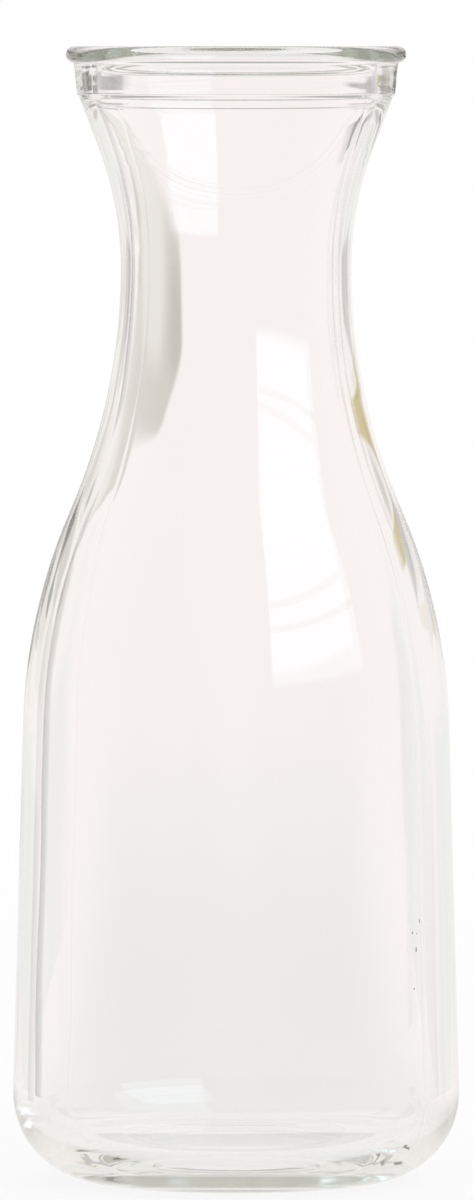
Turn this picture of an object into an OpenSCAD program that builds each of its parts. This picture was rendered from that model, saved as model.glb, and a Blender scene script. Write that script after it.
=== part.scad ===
// Glass wine carafe that holds about one litre.
// It is round: a thick base with a rounded heel, a body that narrows a little as it rises, a long
// sloping shoulder, a narrow throat, a flared neck, a steep collar and a bead around the rim.
// The real carafe is one piece of glass. Here each zone of it is a solid of its own. All are cut
// from one shared half section on level planes, so that they stand on each other face to face.

/* [Heights] */
// Height of the base, which holds the floor and the heel
base_h = 23; // [16:1:30]
// Height from the table to the start of the shoulder
body_h = 105; // [90:1:130]
// Climb of the shoulder, from the body to the throat
shoulder_h = 104.5; // [80:0.5:125]
// Climb of the flared neck, from the throat to the collar
flare_h = 39; // [28:0.5:50]
// Height of the collar together with the bead on it
collar_h = 11.5; // [9.5:0.5:15]
// Height of the half-round bead
bead_h = 3.8; // [2.8:0.2:5]

/* [Widths] */
// Outside diameter at the top of the heel, the widest place
body_d = 102.5; // [96:0.5:114]
// Outside diameter at the start of the shoulder
shoulder_d = 97.8; // [90:0.2:102]
// Outside diameter of the throat
throat_d = 52.8; // [46:0.2:60]
// Outside diameter of the collar, below the bead
collar_d = 74.2; // [68:0.2:80]
// How much smaller the collar's radius is at its foot
collar_taper = 0.7; // [0:0.1:1.2]
// Rounded step from the flared neck out to the foot of the collar
collar_step = 0.5; // [0.3:0.1:1.2]
// Width of the flat ring that the carafe stands on
ring_w = 5.5; // [3:0.5:8]

/* [Curves] */
// Share of the shoulder that is rounded outwards, before it turns hollow
shoulder_share = 0.45; // [0.35:0.05:0.6]
// Bend of the flare, from a straight cone at 1 to one round arc at 2
flare_bend = 1.5; // [1.2:0.05:1.8]
// Radius of the rounded heel
heel_r = 20.2; // [14:0.2:24]
// Radius of the corner between the floor and the wall
floor_r = 12.5; // [6:0.5:16]
// Depth of the hollow under the base
hollow_h = 2.5; // [1:0.5:4]
// Rise of the floor from its edge to its middle
floor_rise = 1; // [0.5:0.5:2]
// Length over which the flare turns upright inside the mouth
mouth_blend = 3; // [1:0.5:4]

/* [Glass] */
// Thickness of the body's wall
body_t = 4.7; // [3:0.1:6]
// Thickness of the wall at the throat
throat_t = 2.6; // [2:0.1:5]
// Thickness of the collar's wall, and radius of the rounded lip
collar_t = 4.5; // [3:0.1:5.5]
// Thickness of the floor at its edge
floor_t = 8; // [6:0.5:12]

/* [Hidden] */
glass = [0.90, 0.94, 0.91, 0.5];
arc_steps = 16;

// Heights of the planes between the zones
throat_z = body_h + shoulder_h;
collar_z = throat_z + flare_h;
height = collar_z + collar_h;
bead_z = height - bead_h;

// Outside and inside radii at those planes
shoulder_r = shoulder_d / 2;
shoulder_in = shoulder_r - body_t;
throat_r = throat_d / 2;
throat_in = throat_r - throat_t;
collar_r = collar_d / 2;
flare_r = collar_r - collar_taper - collar_step;
mouth_r = collar_r - collar_t;

// Angle by which the side of the body leans in
lean = atan((body_d / 2 - shoulder_r) / (body_h - heel_r));

// Radius of the body's side at height z, or of its inside with a wall of thickness t
function side(z, t = 0) = body_d / 2 - t - (z - heel_r) * tan(lean);

// Points on a circle of radius r about c, from angle a to angle b and without the first one
function arc(c, r, a, b) =
    [for (i = [1:arc_steps]) let (q = a + (b - a) * i / arc_steps) c + r * [cos(q), sin(q)]];

// Shallow dome from the axis out to radius r, where its height is z
function dome(r, z, rise) =
    let (big = (r * r + rise * rise) / (2 * rise))
    concat([[0, z + rise]], arc([0, z + rise - big], big, 90, acos(r / big)));

// Radius at which a level face at height z ends and a corner of radius r turns up to the side
function face_r(z, r, t) = side(z + r, t) - r / cos(lean);

// That corner, for the outside or for the inside of a wall of thickness t
function corner(z, r, t) = arc([face_r(z, r, t), z + r], r, -90, lean);

// Shoulder from radius r at the body to radius end_r at the throat: a round arc, then a hollow one
function ogee(r, end_r) =
    let (
        fall = r - end_r,
        bulge_r = shoulder_share * (fall ^ 2 + shoulder_h ^ 2)
            / (2 * (fall * cos(lean) - shoulder_h * sin(lean))),
        bulge_c = [r, body_h] - bulge_r * [cos(lean), sin(lean)],
        away = bulge_c - [end_r, throat_z],
        waist_r = (away * away - bulge_r ^ 2) / (2 * (bulge_r + away.x)),
        waist_c = [end_r + waist_r, throat_z],
        turn = atan2(waist_c.y - bulge_c.y, waist_c.x - bulge_c.x)
    )
    concat(
        [[r, body_h]],
        arc(bulge_c, bulge_r, lean, turn),
        arc(waist_c, waist_r, turn + 180, 180)
    );

// Angle of the flare's straight end, from upright, where it widens from radius r to end_r
function flare_angle(r, end_r) = flare_bend * atan((end_r - r) / flare_h);

// Round start of that flare, which a straight line continues to radius end_r at the collar
function flare(r, end_r) =
    let (
        q = flare_angle(r, end_r),
        big = (flare_h * sin(q) - (end_r - r) * cos(q)) / (1 - cos(q))
    )
    arc([r + big, throat_z], big, 180, 180 - q);

// Turn from the flare to the upright wall of the mouth
function mouth() =
    let (
        q = flare_angle(throat_in, mouth_r),
        big = mouth_blend / tan(q / 2),
        c = [mouth_r - big, collar_z + mouth_blend]
    )
    concat([c + big * [cos(q), -sin(q)]], arc(c, big, -q, 0));

// Outside of the half section, from the middle of the underside up and over the lip
outside = concat(
    dome(face_r(0, heel_r, 0) - ring_w, 0, hollow_h),
    [[face_r(0, heel_r, 0), 0]],
    corner(0, heel_r, 0),
    ogee(shoulder_r, throat_r),
    flare(throat_r, flare_r),
    [[flare_r, collar_z]],
    arc([flare_r, collar_z + collar_step], collar_step, -90, 0),
    [[collar_r, bead_z]],
    arc([collar_r, bead_z + bead_h / 2], bead_h / 2, -90, 90),
    arc([collar_r, height - collar_t], collar_t, 90, 180)
);

// Inside of the half section, from the middle of the floor up to the mouth
inside = concat(
    dome(face_r(floor_t, floor_r, body_t), floor_t, floor_rise),
    corner(floor_t, floor_r, body_t),
    ogee(shoulder_in, throat_in),
    flare(throat_in, mouth_r),
    mouth()
);

// The part of the glass between two heights
module zone(low, high) {
    rotate_extrude($fn = 128)
        intersection() {
            polygon(concat(outside, [for (i = [1:len(inside)]) inside[len(inside) - i]]));
            translate([0, low]) square([body_d, high - low]);
        }
}

// Floor, heel and standing ring
module base() { color(glass) zone(0, base_h); }

// Tapered side wall
module body_wall() { color(glass) zone(base_h, body_h); }

// Sloping wall between the body and the throat
module shoulder() { color(glass) zone(body_h, throat_z); }

// Flared wall above the throat
module neck() { color(glass) zone(throat_z, collar_z); }

// Nearly upright band below the bead
module collar() { color(glass) zone(collar_z, bead_z); }

// Half-round bead and rounded lip
module rim_bead() { color(glass) zone(bead_z, height); }

base();
body_wall();
shoulder();
neck();
collar();
rim_bead();
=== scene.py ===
"""The looks of a clear glass wine carafe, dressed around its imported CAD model.

The CAD zones are one piece of glass on the real carafe, so one unbroken skin of glass stands for all of
them. Its section is worked out from the radii and heights that the CAD nodes have where they meet.
Lengths are in metres.
"""
import math
import random

import bmesh
import bpy
import numpy as np
from mathutils import Matrix, Vector, noise


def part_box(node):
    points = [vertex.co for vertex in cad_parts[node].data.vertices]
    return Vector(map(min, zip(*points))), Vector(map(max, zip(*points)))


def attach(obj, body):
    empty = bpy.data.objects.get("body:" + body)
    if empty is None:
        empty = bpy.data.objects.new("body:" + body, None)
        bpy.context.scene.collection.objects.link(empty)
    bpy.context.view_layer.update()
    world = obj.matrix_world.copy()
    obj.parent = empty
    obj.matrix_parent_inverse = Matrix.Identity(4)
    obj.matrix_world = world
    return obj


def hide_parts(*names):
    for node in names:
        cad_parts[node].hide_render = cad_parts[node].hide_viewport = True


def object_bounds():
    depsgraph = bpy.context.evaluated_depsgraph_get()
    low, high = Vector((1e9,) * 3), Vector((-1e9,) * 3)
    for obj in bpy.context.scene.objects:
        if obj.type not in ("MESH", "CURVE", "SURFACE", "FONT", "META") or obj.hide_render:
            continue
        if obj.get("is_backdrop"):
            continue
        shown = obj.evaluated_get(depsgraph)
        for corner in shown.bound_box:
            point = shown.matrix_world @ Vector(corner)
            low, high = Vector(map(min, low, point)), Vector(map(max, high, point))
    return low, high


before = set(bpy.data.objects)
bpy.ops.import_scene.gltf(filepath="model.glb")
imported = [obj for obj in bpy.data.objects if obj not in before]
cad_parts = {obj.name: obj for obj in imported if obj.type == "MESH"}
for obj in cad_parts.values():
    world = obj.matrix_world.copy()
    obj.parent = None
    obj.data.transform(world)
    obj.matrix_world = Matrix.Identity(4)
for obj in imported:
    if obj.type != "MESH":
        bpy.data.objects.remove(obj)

CAD_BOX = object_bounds()
MM = 0.001
CLOSE = 0.01 * MM

# Curves of the section, as the part's source has them
SHOULDER_SHARE = 0.45
FLARE_BEND = 1.5
FLOOR_CORNER = 12.5 * MM
FLOOR_RISE = 1.0 * MM
COLLAR_STEP = 0.5 * MM
LIP_RADIUS = 4.5 * MM
MOUTH_BLEND = 3.0 * MM

# Fineness of the skin
ARC_STEPS = 48
SECTION_STEP = 0.1 * MM
POLISH_PASSES = 40
MAX_TURN = math.radians(4)
MAX_SPAN = 3.5 * MM
COLUMNS = 180
MIN_COLUMN_TURN = 0.002

# Mould seams, with their turns from the front to the right, and the closer columns that draw them
SEAM_TURNS = (math.radians(57), math.radians(237))
SEAM_HEIGHT = 0.05 * MM
SEAM_WIDTH = 0.45 * MM
SEAM_COLUMNS = (-3, -2, -1, 0, 1, 2, 3)
SEAM_RADIUS = 50 * MM

# Waves of the glass: depth, heights between which they set in, and width, height and seed of the noise
INSIDE_WAVE = 0.16 * MM
INSIDE_START = (9 * MM, 25 * MM)
INSIDE_SWELL = (34 * MM, 80 * MM, 3.7)
INSIDE_RIPPLE = (11 * MM, 30 * MM, 9.1)
INSIDE_RIPPLE_SHARE = 0.35
OUTSIDE_WAVE = 0.03 * MM
OUTSIDE_START = (2 * MM, 20 * MM)
OUTSIDE_SWELL = (22 * MM, 45 * MM, 5.3)
OUTSIDE_END = 8 * MM

# Seed bubbles in the wall by the first seam, with the limits between which each is drawn at random
BUBBLES = 6
BUBBLE_SEED = 11
BUBBLE_TURNS = (-0.05, 0.02)
BUBBLE_HEIGHTS = (46 * MM, 62 * MM)
BUBBLE_WIDTHS = (0.3 * MM, 0.7 * MM)
BUBBLE_STRETCHES = (1.2, 2.2)

# Clear soda-lime glass, with slight ripples and a gloss that handling has made a little uneven
GLASS_INDEX = 1.52
GLASS_TINT = (0.50, 0.54, 0.43)
GLASS_DENSITY = 2.6
RIPPLE_NOISE = {"Scale": 45.0, "Detail": 2.0, "Roughness": 0.4}
RIPPLE_STRENGTH = 0.05
RIPPLE_DEPTH = 0.3 * MM
SMEAR_NOISE = {"Scale": 60.0, "Detail": 4.0, "Roughness": 0.6}
SMEAR_LEVELS = (0.5, 0.75)
SMEAR_ROUGHNESS = 0.03
BOUNCES = 96

# Camera, as worked out from the photograph's ellipses
CAMERA_DISTANCE = 2.55
CAMERA_HEIGHT = 0.26
AIM = Vector((0.0002, 0.0, 0.1332))
VIEW_HEIGHT = 0.275
SENSOR = 36.0

# Floor: size, tones, distances between which the tones change, and the share of it that glows. The lighter
# tone under the carafe, which only the glass sees, is a painted pool of light.
FLOOR_WIDTH = 0.36
FLOOR_FRONT = -1.5
FLOOR_BACK = 1.9
FLOOR_DROP = 0.2 * MM
PAPER = (0.93, 0.93, 0.93)
# Painted pool of light: the lighter tone of the floor under the carafe, as the glass sees it
FLOOR_PAINTED_POOL = (0.96, 0.95, 0.93)
FLOOR_TINT = (0.855, 0.845, 0.825)
# Distances over which the painted pool of light fades into the floor's tone
PAINTED_POOL_FADE = (0.045, 0.075)
SIDE_FADE = (0.1 * FLOOR_WIDTH, FLOOR_WIDTH / 2)
BACK_FADE = (0.3, FLOOR_BACK)
FRONT_FADE = (-0.3, FLOOR_FRONT)
FLOOR_GLOW = 0.88

# Tones of the room, and the angles in degrees between which they change
WHITE = (1.0, 1.0, 1.0)
BACKDROP = (0.965, 0.918, 0.905)
ROOM_FRONT = (0.76, 0.725, 0.70)
ROOM_FADE = (75, 120)
CEILING = (0.80, 0.78, 0.76)
CEILING_FADE = (40, 65)

# What stands around the carafe, far away: azimuths, elevations, slope and colour, with angles in degrees.
# Azimuth 0 is straight behind the carafe and 90 to its right. Each thing fades in from the first to the
# second angle and out from the third to the fourth. The slope is the drop of its edges per degree to the
# right. A later thing covers an earlier one, and the two cuts take slanting corners off the panel.
STUDIO = {
    "left_panel": ((-20, -14, -3.3, -2.7), (-3.6, -3.3, 3, 16), 0.15, (0.82, 0.785, 0.745)),
    "left_panel_end": ((-40, -36, -20, -14), (-2.0, -1.6, 3, 16), 0, (0.88, 0.85, 0.81)),
    "panel_low": ((-20, -14, -3.3, -2.7), (-3.6, -3.3, -2.3, -0.8), 0.15, (0.79, 0.76, 0.71)),
    "panel_edge": ((-5.2, -3.5, -3.1, -2.7), (-3.6, -3.3, -2.2, -0.6), 0.15, (0.55, 0.52, 0.46)),
    "panel_foot": ((-20, -14, -3.3, -2.7), (-3.6, -3.35, -3.2, -2.7), 0.15, (0.64, 0.61, 0.55)),
    "upper_cut": ((-40, -30, -1, 0), (-2.2, -1.2, 20, 30), 0.33, BACKDROP),
    "lower_cut": ((-8, -6, -1, 0), (-6, -4, -0.3, 0.1), -0.73, BACKDROP),
    "left_shade": ((-40, -34, -14, -8), (-16, -12, -3, -2.4), 0, (0.84, 0.85, 0.815)),
    "right_shade": ((8, 14, 34, 40), (-16, -12, -3, -2.4), 0, (0.85, 0.86, 0.825)),
    "left_card": ((-52, -49, -43.5, -42), (-16, -12, 6.2, 7.4), 0, (0.19, 0.185, 0.175)),
    "upper_left_card": ((-37, -34, -20, -18), (6.2, 7.2, 10, 11.5), 0, (0.30, 0.29, 0.27)),
    "upper_right_card": ((19, 22, 36, 40), (5, 7, 12, 14), 0, (0.62, 0.59, 0.55)),
    "right_card": ((38, 42, 52, 56), (-16, -12, -4, -2), 0, (0.82, 0.79, 0.77)),
    "warm_wood": ((20, 24, 44, 48), (-4.3, -3.9, -2.45, -1.95), -0.22, (0.56, 0.46, 0.18)),
    "high_shelf": ((-30, -24, 24, 30), (14, 16, 23, 26), 0, (0.42, 0.41, 0.39)),
    "window": ((104, 106, 159, 161), (8.5, 10.5, 54, 56), 0, (1.75, 2.0, 2.25)),
    "window_bar": ((104, 106, 159, 161), (19.7, 20.2, 21, 21.5), 0, (0.9, 0.9, 0.9)),
}

# Grey cards near the carafe, of which each zone of the glass sees its own: distance, azimuths in degrees,
# heights and grey. The softness is the width of the faded borders as a share of the card.
CARDS = {
    "collar_left": (0.4, (-46, -28), (0.266, 0.305), 0.30),
    "collar_right": (0.4, (20, 46), (0.256, 0.305), 0.34),
    "neck_left": (0.9, (-41, -29), (0.163, 0.214), 0.60),
    "neck_right": (0.9, (24, 40), (0.163, 0.210), 0.56),
    "shoulder_left": (0.4, (-32, -23.5), (0.143, 0.168), 0.22),
    "shoulder_left_low": (0.4, (-36, -29.5), (0.131, 0.143), 0.22),
    "mouth_left": (0.4, (-28, -12), (0.284, 0.308), 0.36),
    "mouth_right": (0.4, (11.5, 21), (0.289, 0.301), 0.45),
    "flare_right": (0.4, (13, 30), (0.226, 0.243), 0.12),
}
CARD_TINT = (1.0, 0.96, 0.92)
CARD_SOFTNESS = 0.3


def ring(node, z):
    """Inside and outside radius of a CAD node at a height where it has points."""
    radii = [v.co.xy.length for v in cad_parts[node].data.vertices if abs(v.co.z - z) < CLOSE]
    return min(radii), max(radii)


def on_axis(node):
    """Lowest and highest point of a CAD node on its axis."""
    heights = [v.co.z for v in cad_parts[node].data.vertices if v.co.xy.length < CLOSE]
    return min(heights), max(heights)


def arc(centre, radius, start, end):
    """Points on a circle in the (radius, height) plane, without the first one."""
    turns = np.linspace(start, end, ARC_STEPS + 1)[1:]
    return [(centre[0] + radius * math.cos(q), centre[1] + radius * math.sin(q)) for q in turns]


def dome(radius, z, rise):
    """Shallow dome from the axis out to a radius, where its height is z."""
    big = (radius ** 2 + rise ** 2) / (2 * rise)
    return [(0.0, z + rise)] + arc((0.0, z + rise - big), big, math.pi / 2, math.acos(radius / big))


class Section:
    """Half section of the glass, from the middle of the underside over the lip to the floor's middle."""

    def __init__(self):
        self.base_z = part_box("base")[1].z
        self.body_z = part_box("body_wall")[1].z
        self.throat_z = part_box("shoulder")[1].z
        self.collar_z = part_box("neck")[1].z
        self.bead_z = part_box("collar")[1].z
        self.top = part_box("rim_bead")[1].z
        self.side_in, self.side_out = ring("body_wall", self.base_z)
        self.shoulder_in, self.shoulder_out = ring("shoulder", self.body_z)
        self.throat_in, self.throat_out = ring("neck", self.throat_z)
        self.flare_out = ring("neck", self.collar_z)[1]
        self.collar_out = ring("collar", self.bead_z)[1]
        self.mouth_in = self.collar_out - LIP_RADIUS
        self.lean = math.atan2(self.side_out - self.shoulder_out, self.body_z - self.base_z)
        self.outside = self.underside() + self.shoulder(self.shoulder_out, self.throat_out) + self.rim()
        self.inside = self.floor() + self.shoulder(self.shoulder_in, self.throat_in) + self.mouth()

    def side(self, z, radius):
        """Radius at height z of the leaning side that has the given radius at the top of the base."""
        return radius - (z - self.base_z) * math.tan(self.lean)

    def underside(self):
        """Hollow, standing ring and heel."""
        ring_in, ring_out = ring("base", 0.0)
        slope = math.tan(self.lean)
        heel = (self.side(0.0, self.side_out) - ring_out) / (1 / math.cos(self.lean) + slope)
        start = dome(ring_in, 0.0, on_axis("base")[0]) + [(ring_out, 0.0)]
        return start + arc((ring_out, heel), heel, -math.pi / 2, self.lean)

    def floor(self):
        """Floor and the round corner up to the wall."""
        z = on_axis("base")[1] - FLOOR_RISE
        edge = self.side(z + FLOOR_CORNER, self.side_in) - FLOOR_CORNER / math.cos(self.lean)
        corner = arc((edge, z + FLOOR_CORNER), FLOOR_CORNER, -math.pi / 2, self.lean)
        return dome(edge, z, FLOOR_RISE) + corner

    def shoulder(self, start, end):
        """Round arc and then a hollow one, from the body's radius to the throat's."""
        fall, climb = start - end, self.throat_z - self.body_z
        lean = self.lean
        across = fall * math.cos(lean) - climb * math.sin(lean)
        bulge = SHOULDER_SHARE * math.hypot(fall, climb) ** 2 / (2 * across)
        bulge_c = (start - bulge * math.cos(lean), self.body_z - bulge * math.sin(lean))
        dr, dz = bulge_c[0] - end, bulge_c[1] - self.throat_z
        waist = (dr ** 2 + dz ** 2 - bulge ** 2) / (2 * (bulge + dr))
        waist_c = (end + waist, self.throat_z)
        turn = math.atan2(waist_c[1] - bulge_c[1], waist_c[0] - bulge_c[0])
        round_part = arc(bulge_c, bulge, lean, turn)
        return [(start, self.body_z)] + round_part + arc(waist_c, waist, turn + math.pi, math.pi)

    def flare(self, start, end):
        """Round start of the flare from the throat to the collar, and the angle at which it goes on."""
        wide, climb = end - start, self.collar_z - self.throat_z
        q = FLARE_BEND * math.atan2(wide, climb)
        big = (climb * math.sin(q) - wide * math.cos(q)) / (1 - math.cos(q))
        return arc((start + big, self.throat_z), big, math.pi, math.pi - q), q

    def rim(self):
        """Flare, collar, bead and lip."""
        bead = (self.top - self.bead_z) / 2
        points = self.flare(self.throat_out, self.flare_out)[0] + [(self.flare_out, self.collar_z)]
        points += arc((self.flare_out, self.collar_z + COLLAR_STEP), COLLAR_STEP, -math.pi / 2, 0)
        points += [(self.collar_out, self.bead_z)]
        points += arc((self.collar_out, self.bead_z + bead), bead, -math.pi / 2, math.pi / 2)
        return points + arc((self.collar_out, self.top - LIP_RADIUS), LIP_RADIUS, math.pi / 2, math.pi)

    def mouth(self):
        """Inside of the flare and its turn to the upright mouth."""
        points, q = self.flare(self.throat_in, self.mouth_in)
        big = MOUTH_BLEND / math.tan(q / 2)
        centre = (self.mouth_in - big, self.collar_z + MOUTH_BLEND)
        points += [(centre[0] + big * math.cos(q), centre[1] - big * math.sin(q))]
        return points + arc(centre, big, -q, 0)


def evenly(points, step):
    """The same line with its points a fixed step apart."""
    points = np.array(points)
    along = np.concatenate([[0], np.cumsum(np.linalg.norm(np.diff(points, axis=0), axis=1))])
    places = np.linspace(0, along[-1], round(along[-1] / step) + 1)
    return np.stack([np.interp(places, along, points[:, k]) for k in (0, 1)], axis=1)


def fire_polish(points):
    """Rounds the corners of a line, as heat does to glass."""
    for _ in range(POLISH_PASSES):
        points[1:-1] = 0.25 * points[:-2] + 0.5 * points[1:-1] + 0.25 * points[2:]
    return points


def thin_out(points):
    """Indices of the points that the line needs, which lie close together only where it turns."""
    heading = np.unwrap(np.arctan2(*np.diff(points, axis=0).T[::-1]))
    keep = [0]
    for i in range(1, len(points) - 1):
        turned = abs(heading[i] - heading[keep[-1]])
        if turned > MAX_TURN or np.linalg.norm(points[i] - points[keep[-1]]) > MAX_SPAN:
            keep.append(i)
    return keep + [len(points) - 1]


def column_turns():
    """Even columns round the carafe, with closer ones at the mould seams."""
    turns = [2 * math.pi * i / COLUMNS for i in range(COLUMNS)]
    for seam in SEAM_TURNS:
        turns += [seam + k * SEAM_WIDTH / 2 / SEAM_RADIUS for k in SEAM_COLUMNS]
    turns.sort()
    spread = [turns[0]]
    for q in turns[1:]:
        if q - spread[-1] > MIN_COLUMN_TURN:
            spread.append(q)
    return spread


def wave(place, width, height, seed):
    """Smooth noise from -1 to 1 with features of the given width and height."""
    return noise.noise(Vector((place.x / width, place.y / width, place.z / height + seed)))


def fade(z, low, high):
    """0 below low, 1 above high and smooth between."""
    t = min(max((z - low) / (high - low), 0.0), 1.0)
    return t * t * (3 - 2 * t)


def unevenness(place, turn, is_inside, section):
    """How far the glass stands proud of its true section here.

    Outside it only sinks in, but for the mould seams.
    """
    if is_inside:
        end = fade(place.z, section.throat_z, section.collar_z)
        strength = fade(place.z, *INSIDE_START) * (1 - end)
        swell = wave(place, *INSIDE_SWELL) + INSIDE_RIPPLE_SHARE * wave(place, *INSIDE_RIPPLE)
        return INSIDE_WAVE * strength * swell
    end = fade(place.z, section.collar_z - OUTSIDE_END, section.collar_z)
    strength = fade(place.z, *OUTSIDE_START) * (1 - end)
    proud = -OUTSIDE_WAVE * strength * (1 + wave(place, *OUTSIDE_SWELL))
    radius = place.xy.length
    for seam in SEAM_TURNS:
        off = ((turn - seam + math.pi) % (2 * math.pi) - math.pi) * radius / SEAM_WIDTH
        proud += SEAM_HEIGHT * strength * math.exp(-off * off)
    return proud


def skin_rows(section):
    """Rows of points round the carafe, from the underside over the lip to the floor."""
    line = fire_polish(evenly(section.outside + section.inside[::-1], SECTION_STEP))
    lip = int(line[:, 1].argmax())
    along = np.gradient(line, axis=0)
    out = np.stack([along[:, 1], -along[:, 0]], axis=1) / np.linalg.norm(along, axis=1)[:, None]
    turns = column_turns()
    rows = []
    for i in thin_out(line):
        (r, z), (nr, nz) = line[i], out[i]
        if r < SECTION_STEP:
            rows.append([Vector((0, 0, z))])
            continue
        row = []
        for turn in turns:
            way = Vector((math.sin(turn), -math.cos(turn), 0))
            place = way * r + Vector((0, 0, z))
            proud = unevenness(place, turn, i > lip, section)
            row.append(place + proud * (way * nr + Vector((0, 0, nz))))
        rows.append(row)
    return rows


def add_rows(bm, rows):
    """Faces between neighbouring rows. A row of one point is a pole."""
    made = [[bm.verts.new(p) for p in row] for row in rows]
    for low, high in zip(made, made[1:]):
        count = max(len(low), len(high))
        for j in range(count):
            k = (j + 1) % count
            corners = [low[j % len(low)], low[k % len(low)], high[k % len(high)], high[j % len(high)]]
            bm.faces.new(list(dict.fromkeys(corners)))


def seed_bubbles(section):
    """Centre, width and height of a group of seed bubbles in the body's wall, by the first seam."""
    rnd = random.Random(BUBBLE_SEED)
    for _ in range(BUBBLES):
        turn = SEAM_TURNS[0] + rnd.uniform(*BUBBLE_TURNS)
        z = rnd.uniform(*BUBBLE_HEIGHTS)
        width = rnd.uniform(*BUBBLE_WIDTHS)
        radius = section.side(z, (section.side_in + section.side_out) / 2)
        centre = Vector((radius * math.sin(turn), -radius * math.cos(turn), z))
        yield centre, width, width * rnd.uniform(*BUBBLE_STRETCHES)


def add_bubble(bm, centre, width, height):
    """A small closed bubble in the glass, with its faces turned to the air inside it."""
    shape = Matrix.Translation(centre) @ Matrix.Diagonal((width / 2, width / 2, height / 2, 1))
    made = bmesh.ops.create_icosphere(bm, subdivisions=2, radius=1, matrix=shape)["verts"]
    faces = {f for v in made for f in v.link_faces}
    bmesh.ops.reverse_faces(bm, faces=list(faces))


def empty_tree(owner):
    """Node tree of a material or world, with nothing in it."""
    owner.use_nodes = True
    owner.node_tree.nodes.clear()
    return owner.node_tree


def socket(node, name, value):
    """Sets a node's input, or links it if the value is another node's output."""
    if isinstance(value, bpy.types.NodeSocket):
        node.id_data.links.new(value, node.inputs[name])
    else:
        node.inputs[name].default_value = value


def new_node(tree, kind, inputs=(), **settings):
    """A shader node with its settings and its inputs, given as (name or number, value or socket)."""
    node = tree.nodes.new("ShaderNode" + kind)
    for name, value in settings.items():
        setattr(node, name, value)
    for name, value in inputs:
        socket(node, name, value)
    return node


def math_node(tree, operation, a, b=0.0):
    """Result of a math node."""
    return new_node(tree, "Math", [(0, a), (1, b)], operation=operation).outputs[0]


def smooth_step(tree, value, low, high):
    """Socket that goes smoothly from 0 at low to 1 at high."""
    span = [("Value", value), ("From Min", low), ("From Max", high)]
    return new_node(tree, "MapRange", span, interpolation_type="SMOOTHSTEP").outputs[0]


def between(tree, value, rise_from, rise_to, fall_from, fall_to):
    """Socket that goes smoothly from 0 up to 1 and down to 0 again."""
    rise = smooth_step(tree, value, rise_from, rise_to)
    return math_node(tree, "SUBTRACT", rise, smooth_step(tree, value, fall_from, fall_to))


def mixed(tree, mask, under, over):
    """Socket with one colour where the mask is 0 and another where it is 1.

    A colour is a triple or a socket.
    """
    mix = new_node(tree, "Mix", [(0, mask)], data_type="RGBA")
    for place, colour in ((6, under), (7, over)):
        socket(mix, place, colour if isinstance(colour, bpy.types.NodeSocket) else (*colour, 1.0))
    return mix.outputs[2]


def mixed_shaders(tree, mask, under, over):
    """Socket with one shader where the mask is 0 and another where it is 1."""
    inputs = [(0, mask), (1, under.outputs[0]), (2, over.outputs[0])]
    return new_node(tree, "MixShader", inputs).outputs[0]


def noise_at(tree, place, values):
    """Socket with a noise of the given values."""
    return new_node(tree, "TexNoise", [("Vector", place), *values.items()]).outputs["Fac"]


def azimuth_of(tree, x, y):
    """Socket with the direction from the carafe in degrees: 0 straight behind it and 90 to its right."""
    return math_node(tree, "MULTIPLY", math_node(tree, "ARCTAN2", x, y), 180 / math.pi)


def room_tone(tree, azimuth):
    """Socket with the tone of the room: the backdrop behind the carafe and a darker room in front."""
    around = math_node(tree, "ABSOLUTE", azimuth)
    return mixed(tree, smooth_step(tree, around, *ROOM_FADE), BACKDROP, ROOM_FRONT)


def glass_material():
    """Clear glass, faintly grey-green in depth, with its ripples and its uneven gloss."""
    mat = bpy.data.materials.new("clear_glass")
    tree = empty_tree(mat)
    place = new_node(tree, "TexCoord").outputs["Object"]
    bump = new_node(tree, "Bump", [
        ("Strength", RIPPLE_STRENGTH),
        ("Distance", RIPPLE_DEPTH),
        ("Height", noise_at(tree, place, RIPPLE_NOISE)),
    ])
    gloss = new_node(tree, "MapRange", [
        ("Value", noise_at(tree, place, SMEAR_NOISE)),
        ("From Min", SMEAR_LEVELS[0]),
        ("From Max", SMEAR_LEVELS[1]),
        ("To Min", 0.0),
        ("To Max", SMEAR_ROUGHNESS),
    ])
    shader = new_node(tree, "BsdfPrincipled", [
        ("Base Color", (*WHITE, 1.0)),
        ("Roughness", gloss.outputs[0]),
        ("IOR", GLASS_INDEX),
        ("Transmission Weight", 1.0),
        ("Normal", bump.outputs[0]),
    ])
    depth = new_node(tree, "VolumeAbsorption", [
        ("Color", (*GLASS_TINT, 1.0)),
        ("Density", GLASS_DENSITY),
    ])
    new_node(tree, "OutputMaterial", [("Surface", shader.outputs[0]), ("Volume", depth.outputs[0])])
    return mat


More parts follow.
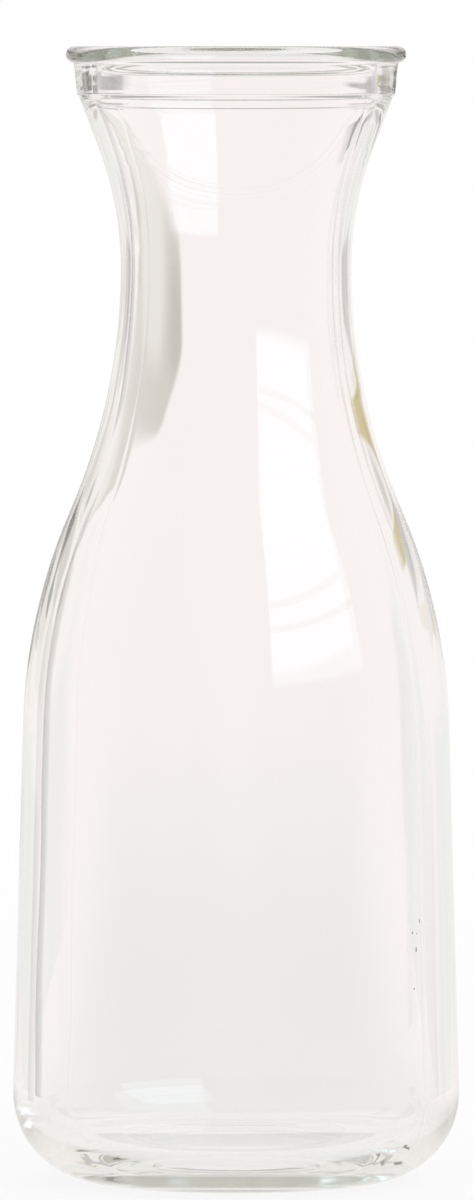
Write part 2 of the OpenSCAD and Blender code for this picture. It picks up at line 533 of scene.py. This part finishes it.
def floor_material():
    """Pale floor, white to the camera, that still takes a faint shadow.

    In the glass its edges have the tone of the room, so that they don't show there, and round the carafe
    it has a painted pool of light.
    """
    mat = bpy.data.materials.new("pale_floor")
    tree = empty_tree(mat)
    rays = new_node(tree, "LightPath").outputs
    place = new_node(tree, "TexCoord").outputs["Object"]
    x, y, _ = new_node(tree, "SeparateXYZ", [(0, place)]).outputs

    side = smooth_step(tree, math_node(tree, "ABSOLUTE", x), *SIDE_FADE)
    back = smooth_step(tree, y, *BACK_FADE)
    front = smooth_step(tree, y, *FRONT_FADE)
    far = math_node(tree, "MAXIMUM", side, math_node(tree, "MAXIMUM", back, front))
    away = new_node(tree, "VectorMath", [(0, place)], operation="LENGTH").outputs["Value"]
    # painted pool of light: the floor glows lighter near the carafe, for the glass only
    near = mixed(tree, smooth_step(tree, away, *PAINTED_POOL_FADE), FLOOR_PAINTED_POOL, FLOOR_TINT)
    in_glass = mixed(tree, far, near, room_tone(tree, azimuth_of(tree, x, y)))
    tint = mixed(tree, rays["Is Camera Ray"], in_glass, WHITE)

    seen = math_node(tree, "MAXIMUM", rays["Is Camera Ray"], rays["Is Glossy Ray"])
    seen = math_node(tree, "MAXIMUM", seen, rays["Is Transmission Ray"])
    share = math_node(tree, "ADD", FLOOR_GLOW, math_node(tree, "MULTIPLY", far, 1 - FLOOR_GLOW))
    share = math_node(tree, "MULTIPLY", seen, share)
    paper = new_node(tree, "BsdfDiffuse", [("Color", (*PAPER, 1.0))])
    glow = new_node(tree, "Emission", [("Color", tint), ("Strength", 1.0)])
    new_node(tree, "OutputMaterial", [("Surface", mixed_shaders(tree, share, paper, glow))])
    return mat


def card_material(name, grey):
    """Even glow of one warm grey that fades out towards the borders."""
    mat = bpy.data.materials.new(name)
    tree = empty_tree(mat)
    place = new_node(tree, "TexCoord").outputs["Generated"]
    across, _, up = new_node(tree, "SeparateXYZ", [(0, place)]).outputs
    border = CARD_SOFTNESS / (1 + CARD_SOFTNESS)
    limits = (0.0, border, 1.0 - border, 1.0)
    mask = math_node(tree, "MULTIPLY", between(tree, across, *limits), between(tree, up, *limits))
    colour = [tint * grey for tint in CARD_TINT]
    clear = new_node(tree, "BsdfTransparent")
    glow = new_node(tree, "Emission", [("Color", (*colour, 1.0)), ("Strength", 1.0)])
    new_node(tree, "OutputMaterial", [("Surface", mixed_shaders(tree, mask, clear, glow))])
    return mat


def add_object(name, data):
    """A new object in the scene."""
    made = bpy.data.objects.new(name, data)
    bpy.context.scene.collection.objects.link(made)
    return made


def add_sheet(name, corners, material):
    """A flat sheet with four corners."""
    mesh = bpy.data.meshes.new(name)
    mesh.from_pydata(corners, [], [(0, 1, 2, 3)])
    mesh.materials.append(material)
    return add_object(name, mesh)


def make_carafe():
    """The whole carafe as one skin of glass."""
    section = Section()
    bm = bmesh.new()
    add_rows(bm, skin_rows(section))
    bmesh.ops.recalc_face_normals(bm, faces=bm.faces)
    for centre, width, height in seed_bubbles(section):
        add_bubble(bm, centre, width, height)
    mesh = bpy.data.meshes.new("carafe_glass")
    bm.to_mesh(mesh)
    bm.free()
    mesh.shade_smooth()
    mesh.materials.append(glass_material())
    carafe = add_object("carafe_glass", mesh)
    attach(carafe, "root")
    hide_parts("base", "body_wall", "shoulder", "neck", "collar", "rim_bead")


def make_floor():
    """Strip of pale paper under the carafe."""
    half = FLOOR_WIDTH / 2
    front = [(-half, FLOOR_FRONT, 0), (half, FLOOR_FRONT, 0)]
    back = [(half, FLOOR_BACK, 0), (-half, FLOOR_BACK, 0)]
    floor = add_sheet("floor", front + back, floor_material())
    floor.location.z = -FLOOR_DROP
    floor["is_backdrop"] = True


def with_borders(low, high):
    """A card's span, widened so that its soft borders are half faded where the span ends."""
    more = CARD_SOFTNESS / 2 * (high - low)
    return low - more, high + more


def make_cards():
    """Grey cards that only the glass sees."""
    for name, (distance, ends, heights, grey) in CARDS.items():
        turns = [math.radians(q) for q in with_borders(*ends)]
        left, right = [distance * Vector((math.sin(q), math.cos(q))) for q in turns]
        bottom, top = with_borders(*heights)
        corners = [(*left, bottom), (*right, bottom), (*right, top), (*left, top)]
        card = add_sheet(name, corners, card_material(name, grey))
        card.visible_camera = False
        card.visible_diffuse = False
        card.visible_shadow = False
        card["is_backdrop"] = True


def make_world():
    """White studio with a darker room in front, and what stands around the carafe."""
    world = bpy.data.worlds.new("studio")
    bpy.context.scene.world = world
    tree = empty_tree(world)
    way = new_node(tree, "TexCoord").outputs["Generated"]
    x, y, z = new_node(tree, "SeparateXYZ", [(0, way)]).outputs
    azimuth = azimuth_of(tree, x, y)
    elevation = math_node(tree, "MULTIPLY", math_node(tree, "ARCSINE", z), 180 / math.pi)

    light = mixed(tree, smooth_step(tree, elevation, *CEILING_FADE), room_tone(tree, azimuth), CEILING)
    for across, upward, slope, colour in STUDIO.values():
        height = math_node(tree, "ADD", elevation, math_node(tree, "MULTIPLY", azimuth, slope))
        mask = math_node(tree, "MULTIPLY", between(tree, azimuth, *across), between(tree, height, *upward))
        light = mixed(tree, mask, light, colour)

    studio = new_node(tree, "Background", [("Color", light)])
    white = new_node(tree, "Background", [("Color", (*WHITE, 1.0)), ("Strength", 1.0)])
    is_camera = new_node(tree, "LightPath").outputs["Is Camera Ray"]
    new_node(tree, "OutputWorld", [("Surface", mixed_shaders(tree, is_camera, studio, white))])


def make_camera():
    """Camera at the photograph's viewing angle, level with the rim and far away."""
    data = bpy.data.cameras.new("camera")
    camera = add_object("camera", data)
    camera.location = Vector((0, -CAMERA_DISTANCE, CAMERA_HEIGHT))
    view = AIM - camera.location
    camera.rotation_euler = view.to_track_quat("-Z", "Y").to_euler()
    data.sensor_width = SENSOR
    data.lens = SENSOR * view.length / VIEW_HEIGHT
    bpy.context.scene.camera = camera


def set_render():
    """Colours as they are written, and enough bounces for light in thick glass."""
    scene = bpy.context.scene
    scene.view_settings.view_transform = "Standard"
    scene.cycles.max_bounces = BOUNCES
    scene.cycles.transmission_bounces = BOUNCES
    scene.cycles.glossy_bounces = BOUNCES
    scene.cycles.use_denoising = True


make_carafe()
make_floor()
make_cards()
make_world()
make_camera()
set_render()

bpy.context.view_layer.update()
boxes = {"cad": CAD_BOX, "visual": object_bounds()}
{name: [list(corner) for corner in box] for name, box in boxes.items()}
